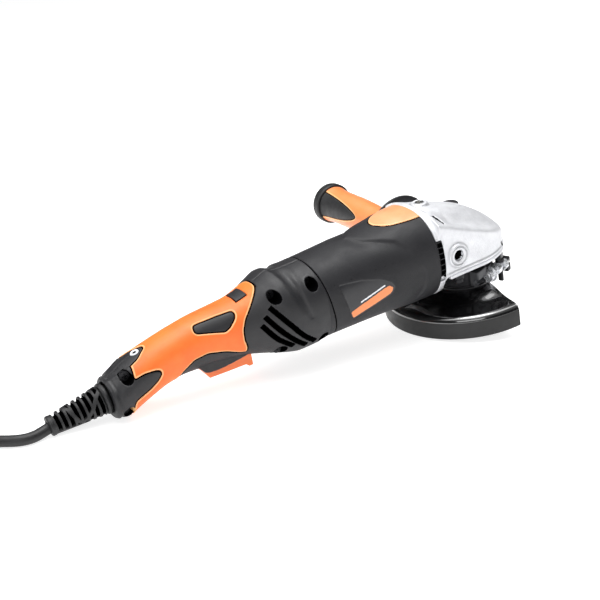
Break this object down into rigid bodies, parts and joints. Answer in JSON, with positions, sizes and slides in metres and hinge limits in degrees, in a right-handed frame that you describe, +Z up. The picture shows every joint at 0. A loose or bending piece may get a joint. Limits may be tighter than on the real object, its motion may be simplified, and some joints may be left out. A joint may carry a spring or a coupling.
{
  "type": "angle grinder",
  "caption": "Long-handled corded angle grinder with a cast gear head, half-round wheel guard, side handle, paddle trigger and a coiled mains lead.",
  "frame": {"origin": "on the floor, under the middle of the tool without its lead", "axes": "+X towards the gear head, +Y towards the side handle, +Z up from the floor that the tool lies on"},
  "size_m": [0.5266, 0.2585, 0.1019],
  "materials": {
    "black_plastic": "satin moulded glass-filled nylon",
    "motor_plastic": "satin moulded glass-filled nylon",
    "orange_grip": "soft-touch overmould",
    "orange_plastic": "satin moulded plastic",
    "cast_aluminium": "tumbled die casting",
    "guard_paint": "gloss black paint",
    "zinc_steel": "zinc plated",
    "dark_steel": "blackened steel",
    "bearing_steel": "ground",
    "lamination": "lacquered laminations",
    "copper": "enamelled copper",
    "carbon": "pressed carbon",
    "black_rubber": "matte rubber",
    "clear_white": "translucent lens",
    "plate_film": "plain printed film",
    "bronze": "sintered bronze",
    "felt": "oiled felt",
    "pin_nickel": "nickel plated brass"
  },
  "bodies": {
    "housing": {"motor_housing": "motor_plastic", "top_panel": "orange_plastic", "nameplate": "plate_film", "handle_shell_right": "black_plastic", "handle_shell_left": "black_plastic", "grip_overmould_right": "orange_grip", "grip_overmould_left": "orange_grip", "handle_screws": "dark_steel", "indicator_lens": "clear_white", "trigger_pin": "zinc_steel", "switch_module": "black_plastic", "electronics_module": "black_plastic", "cord_clamp": "black_plastic", "cord_clamp_screws": "zinc_steel", "strain_relief": "black_rubber", "gear_housing": "cast_aluminium", "gear_housing_screws": "zinc_steel", "bearing_cover": "cast_aluminium", "bearing_cover_screws": "zinc_steel", "dust_seal": "felt", "spindle_bush": "bronze", "bearing_outer_rings": "bearing_steel", "bearing_balls": "bearing_steel", "stator_core": "lamination", "stator_coils": "copper", "air_baffle": "black_plastic", "brush_holders": "black_plastic", "carbon_brushes": "carbon", "brush_springs": "dark_steel", "side_handle_stud": "zinc_steel", "side_handle_flange": "black_plastic", "side_handle_grip": "orange_plastic", "side_handle_end": "black_rubber", "power_cord": "black_rubber", "cord_coil": "black_rubber", "mains_plug": "black_rubber", "plug_pins": "pin_nickel"},
    "armature": {"armature_shaft": "bearing_steel", "armature_core": "lamination", "armature_windings": "copper", "commutator": "copper", "cooling_fan": "black_plastic", "drive_pinion": "dark_steel", "pinion_nut": "zinc_steel", "armature_bearing_inners": "bearing_steel"},
    "spindle": {"output_spindle": "bearing_steel", "crown_gear": "dark_steel", "spindle_bearing_inner": "bearing_steel", "inner_flange": "dark_steel", "clamp_nut": "dark_steel"},
    "guard": {"guard_shell": "guard_paint", "guard_collar": "guard_paint", "guard_clamp_bolt": "zinc_steel", "guard_clamp_nut": "zinc_steel"},
    "trigger": {"trigger": "orange_plastic"},
    "switch_plunger": {"switch_plunger": "black_plastic"},
    "lock_button": {"lock_button": "black_plastic"},
    "spindle_lock": {"spindle_lock_button": "black_plastic"}
  },
  "joints": [
    {"name": "armature_spin", "type": "hinge", "parent": "housing", "child": "armature", "pos_m": [0.15508, -0.04415, 0.06813], "axis": [0.9914, 0, 0.1305], "continuous": true},
    {"name": "spindle_spin", "type": "hinge", "parent": "housing", "child": "spindle", "pos_m": [0.15508, -0.04415, 0.06813], "axis": [-0.1305, 0, 0.9914], "continuous": true},
    {"name": "guard_turn", "type": "hinge", "parent": "housing", "child": "guard", "pos_m": [0.15508, -0.04415, 0.06813], "axis": [-0.1305, 0, 0.9914], "range_deg": [-90, 90]},
    {"name": "trigger_press", "type": "hinge", "parent": "housing", "child": "trigger", "pos_m": [-0.07746, -0.04415, 0.02642], "axis": [0, -1, 0], "range_deg": [0, 9], "stiffness_Nm_per_rad": 0.8, "springref_deg": -11.46},
    {"name": "plunger_press", "type": "slide", "parent": "housing", "child": "switch_plunger", "axis": [-0.1305, 0, 0.9914], "range_m": [0, 0.004]},
    {"name": "lock_button_press", "type": "slide", "parent": "housing", "child": "lock_button", "axis": [0.1305, 0, -0.9914], "range_m": [0, 0.0025], "stiffness_N_per_m": 500, "springref_m": -0.002},
    {"name": "spindle_lock_press", "type": "slide", "parent": "housing", "child": "spindle_lock", "axis": [0.1305, 0, -0.9914], "range_m": [0, 0.004], "stiffness_N_per_m": 500, "springref_m": -0.002}
  ],
  "couplings": [
    {"joint": "spindle_spin", "follows": "armature_spin", "ratio": -0.28571},
    {"joint": "plunger_press", "follows": "trigger_press", "m_per_rad": 0.0252}
  ]
}
